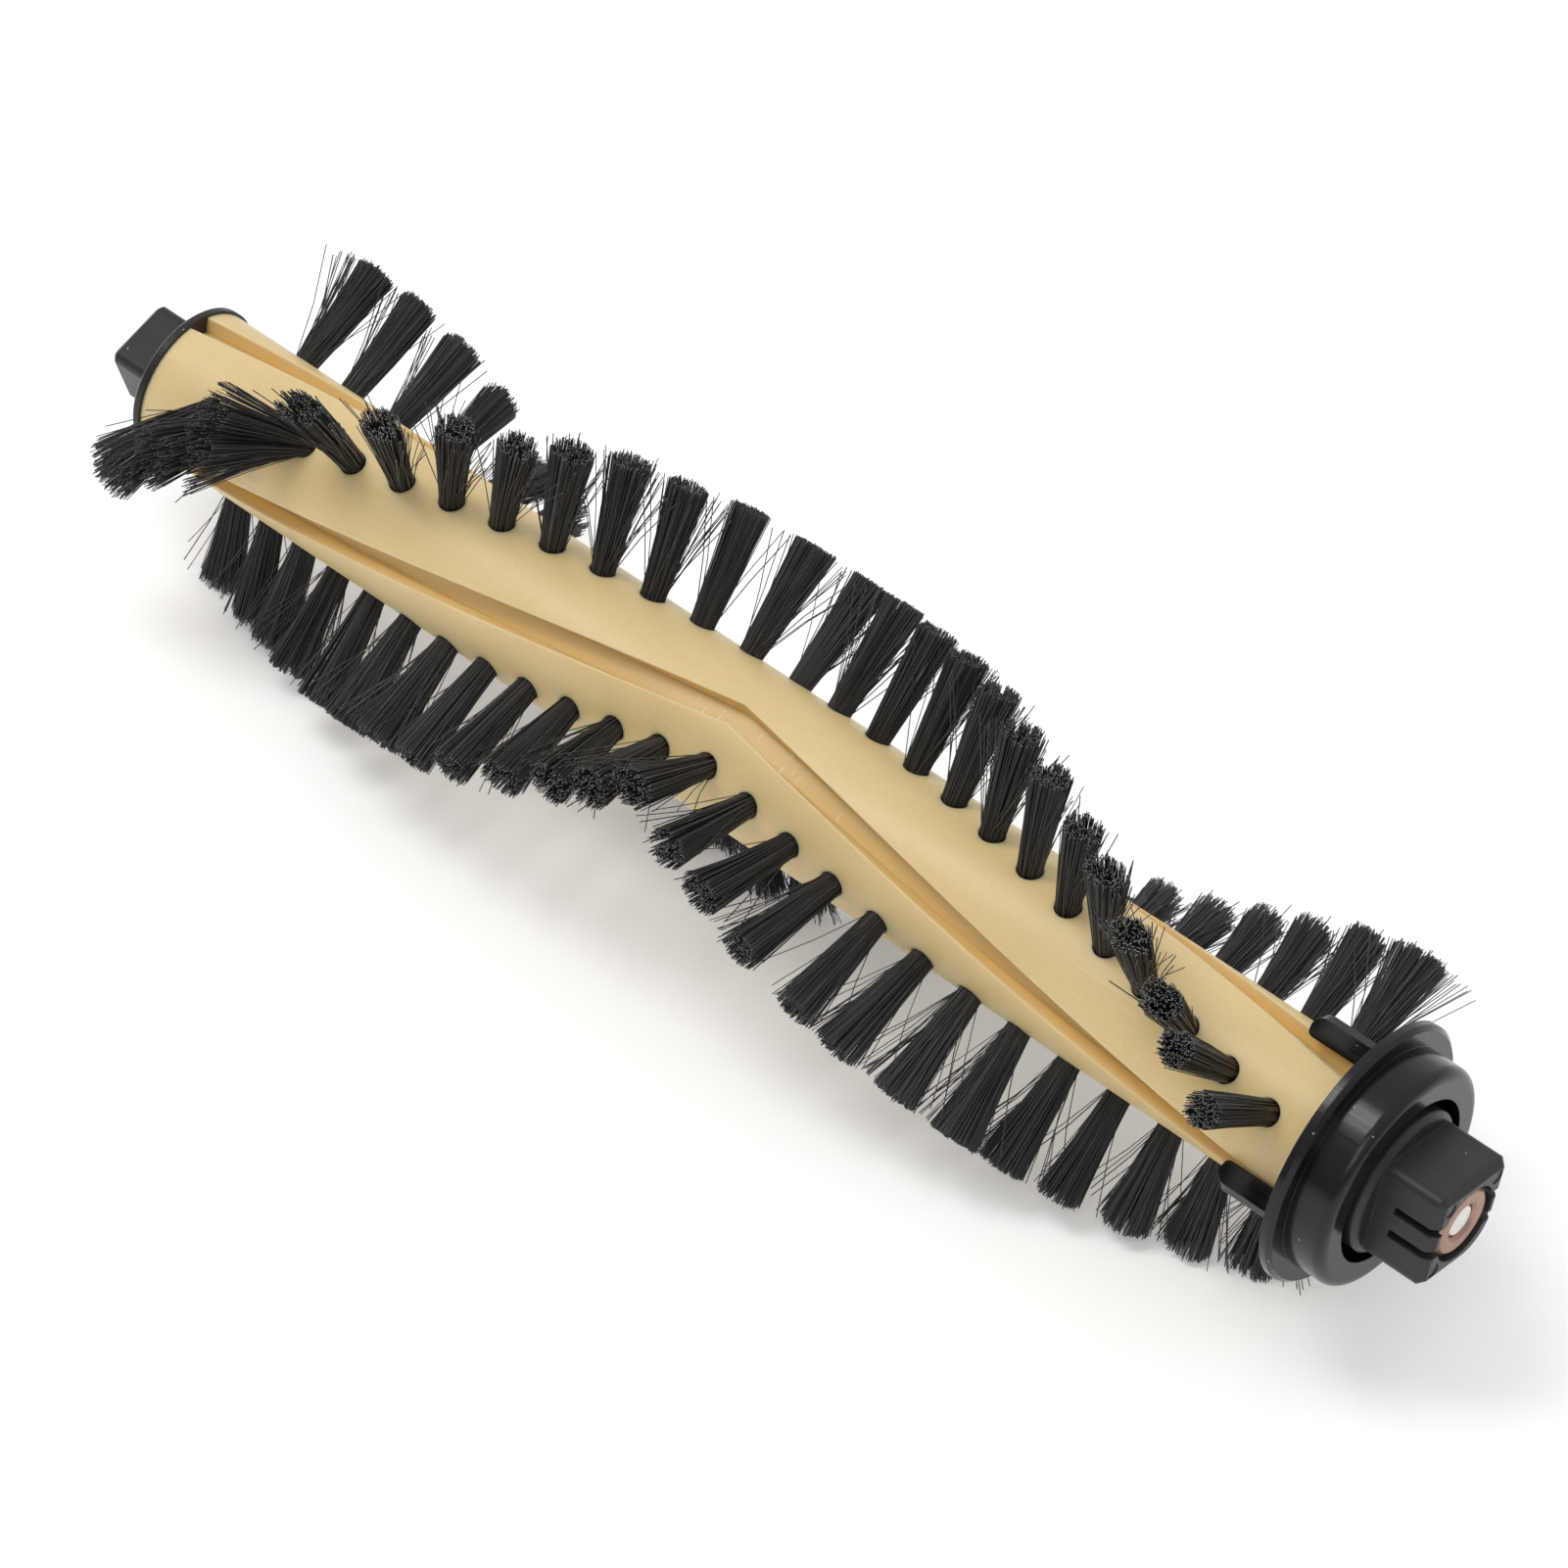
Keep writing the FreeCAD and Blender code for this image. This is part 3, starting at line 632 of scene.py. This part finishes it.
# %% [markdown]
# ## Bronze and steel
# The bush is pressed from bronze powder, so it is matt with a pinkish cast, and its pores darken it in
# spots. The pin is ground steel and the anchors are stamped from strip. Plain metal would mirror the studio
# too cleanly, so the grain group breaks up both colour and roughness.

# %% Metal materials
def bronze():
    """Pressed bronze powder, darker in its pores."""
    material, tree, shader = new_material("sintered_bronze", Metallic=0.85)
    grain = place_group(tree, GRAIN, Grain_Size=6000.0, Cloud_Size=500.0)
    colour = blend_colour(tree, grain.outputs["Pits"], (0.26, 0.150, 0.110), (0.52, 0.340, 0.270))
    tree.links.new(colour, shader.inputs["Base Color"])
    tree.links.new(ranged(tree, grain.outputs["Clouds"], 0.3, 0.7, 0.38, 0.58), shader.inputs["Roughness"])
    return material


def steel(name, low, high):
    """Steel that clouds between two greys."""
    material, tree, shader = new_material(name, Metallic=1.0)
    grain = place_group(tree, GRAIN, Grain_Size=5000.0, Cloud_Size=700.0)
    tree.links.new(blend_colour(tree, grain.outputs["Clouds"], low, high), shader.inputs["Base Color"])
    tree.links.new(ranged(tree, grain.outputs["Pits"], 0.3, 0.7, 0.28, 0.45), shader.inputs["Roughness"])
    return material


dress(nodes["bearing_bush"], bronze())
dress(nodes["axle_pin"], steel("ground_steel", (0.62, 0.60, 0.57), (0.85, 0.83, 0.80)))
staple_steel = steel("staple_steel", (0.42, 0.42, 0.41), (0.60, 0.60, 0.58))
for name, node in nodes.items():
    if name.startswith("anchors"):
        dress(node, staple_steel)

# %% [markdown]
# ## Nylon bristles
# The filaments are black with a dull shine. Near their roots a warm bounce of light from the core is painted
# into their colour, and their cut ends scatter light and look grey. One colour would melt a tuft into a
# block, so the two numbers stored on the mesh drive these changes: the shade sets one filament off from the
# next, the run goes from root to tip.

# %% Bristle material
BRISTLE_SHADES = (0.011, 0.0105, 0.0103), (0.058, 0.057, 0.058)
PAINTED_ROOT_BOUNCE = (0.031, 0.025, 0.016)
BRISTLE_FRAY = (0.045, 0.044, 0.044)
BRISTLE_CUT = (0.25, 0.247, 0.250)


def nylon_bristle():
    """Black nylon from root to cut end."""
    material, tree, shader = new_material("bristle_black", Specular_IOR_Level=0.6)
    run = add(tree, "Attribute", attribute_name="filament_run").outputs["Fac"]
    shade = add(tree, "Attribute", attribute_name="filament_shade").outputs["Fac"]
    body = blend_colour(tree, shade, *BRISTLE_SHADES)
    # Painted bounce light: a warm brown from the core near the roots.
    root_bounce = blend_colour(tree, ranged(tree, run, 0.2, 0.6, 0, 1), PAINTED_ROOT_BOUNCE, body)
    frayed = blend_colour(tree, ranged(tree, run, 0.96, 1.0, 0, 1), root_bounce, BRISTLE_FRAY)
    cut = blend_colour(tree, ranged(tree, run, 1.0, 1.15, 0, 1), frayed, BRISTLE_CUT)
    tree.links.new(cut, shader.inputs["Base Color"])
    tree.links.new(ranged(tree, shade, 0, 1, 0.34, 0.55), shader.inputs["Roughness"])
    return material


bristle_black = nylon_bristle()
for piece in bristles:
    dress(piece, bristle_black)

# %% [markdown]
# ## Floor
# The brush lies on a white table. A wide plane carries the contact shadow. A white surface under soft light
# would still come out pale grey, and more light would bleach the core, so the floor glows a little by
# itself, as a light table does.

# %% Floor
FLOOR_HALF = 3.0


def white_floor():
    """A wide white plane under the bristles."""
    corners = [(x * FLOOR_HALF, y * FLOOR_HALF, 0) for x, y in ((-1, -1), (1, -1), (1, 1), (-1, 1))]
    mesh = bpy.data.meshes.new("floor")
    mesh.from_pydata(corners, [], [(0, 1, 2, 3)])
    floor = bpy.data.objects.new("floor", mesh)
    floor.location.z = floor_height
    bpy.context.scene.collection.objects.link(floor)
    material, _, _ = new_material("floor_white", Base_Color=(0.93, 0.93, 0.93, 1), Roughness=0.9,
                                  Specular_IOR_Level=0.1, Emission_Color=(1, 1, 1, 1),
                                  Emission_Strength=0.18)
    dress(floor, material)


white_floor()

# %% [markdown]
# ## Light
# A pale sky gives soft light from all sides. It is bright above and on the far side and dim on the camera's
# side, so that the near faces of the black parts stay dark. An even sky would wash them out. A softbox
# above and to the left draws the window-like streak on the collar, and a wide, weak one in front opens the
# shadows.

# %% Sky
SKY_BRIGHT = 0.82
SKY_DIM = 0.24
BRIGHT_SIDE = (0, 0.6, 0.8)


def soft_sky():
    """A white world whose strength falls off away from the bright side."""
    world = bpy.data.worlds.new("studio")
    world.use_nodes = True
    bpy.context.scene.world = world
    tree = world.node_tree
    place = add(tree, "TexCoord")
    facing = add(tree, "VectorMath", operation="DOT_PRODUCT")
    tree.links.new(place.outputs["Generated"], facing.inputs[0])
    facing.inputs[1].default_value = BRIGHT_SIDE
    strength = ranged(tree, facing.outputs["Value"], -0.5, 0.8, SKY_DIM, SKY_BRIGHT)
    tree.links.new(strength, tree.nodes["Background"].inputs["Strength"])
    tree.nodes["Background"].inputs["Color"].default_value = (1.0, 1.0, 1.0, 1)


soft_sky()
print("sky", SKY_DIM, "to", SKY_BRIGHT)


# %% Softboxes
def softbox(name, aim, direction, distance, size, power):
    """A rectangular lamp at a distance from the point that it aims at."""
    lamp = bpy.data.lights.new(name, "AREA")
    lamp.shape = "RECTANGLE"
    lamp.size, lamp.size_y = size
    lamp.energy = power
    light = bpy.data.objects.new(name, lamp)
    light.location = aim + distance * Vector(direction)
    light.rotation_euler = (aim - light.location).to_track_quat("-Z", "Y").to_euler()
    bpy.context.scene.collection.objects.link(light)
    print(name, "at", [round(c, 2) for c in light.location])


collar = Vector((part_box("bearing_cap")[1].x, 0, 0))
softbox("overhead", collar, (-0.45, -0.25, 0.86), 0.66, (0.23, 0.33), 1.45)
softbox("front fill", Vector((0.06, 0, 0)), (0.392, -0.62, 0.70), 0.95, (0.50, 0.50), 1.4)

# %% [markdown]
# ## Camera
# The photograph looks down at the brush from the bearing end with a long lens, tilted a little to one side.
# The values were found by matching the core's edges, the end rings and the spacing of the tufts in the
# picture.

# %% Camera
AZIMUTH, ELEVATION, ROLL = (math.radians(angle) for angle in (36.247, 43.201, 6.916))
DISTANCE = 722.75 * MM
LENS = 155.6
SENSOR = 36.0
NEAREST = 50 * MM
AIM = Vector((95.38, 0.51, -2.14)) * MM


def photo_camera():
    """The camera, placed by its direction from the brush and rolled about its own axis."""
    back = Vector((math.sin(AZIMUTH) * math.cos(ELEVATION), -math.cos(AZIMUTH) * math.cos(ELEVATION),
                   math.sin(ELEVATION)))
    level = Vector((0, 0, 1)).cross(back).normalized()
    right = math.cos(ROLL) * level + math.sin(ROLL) * back.cross(level)
    camera = bpy.data.objects.new("camera", bpy.data.cameras.new("camera"))
    camera.data.lens = LENS
    camera.data.sensor_width = SENSOR
    camera.data.clip_start = NEAREST
    camera.matrix_world = Matrix.Translation(AIM + DISTANCE * back) @ Matrix(
        (right, back.cross(right), back)).transposed().to_4x4()
    bpy.context.scene.collection.objects.link(camera)
    bpy.context.scene.camera = camera
    print("camera at", [round(c, 2) for c in AIM + DISTANCE * back])


photo_camera()
bpy.context.scene.view_settings.view_transform = "Standard"
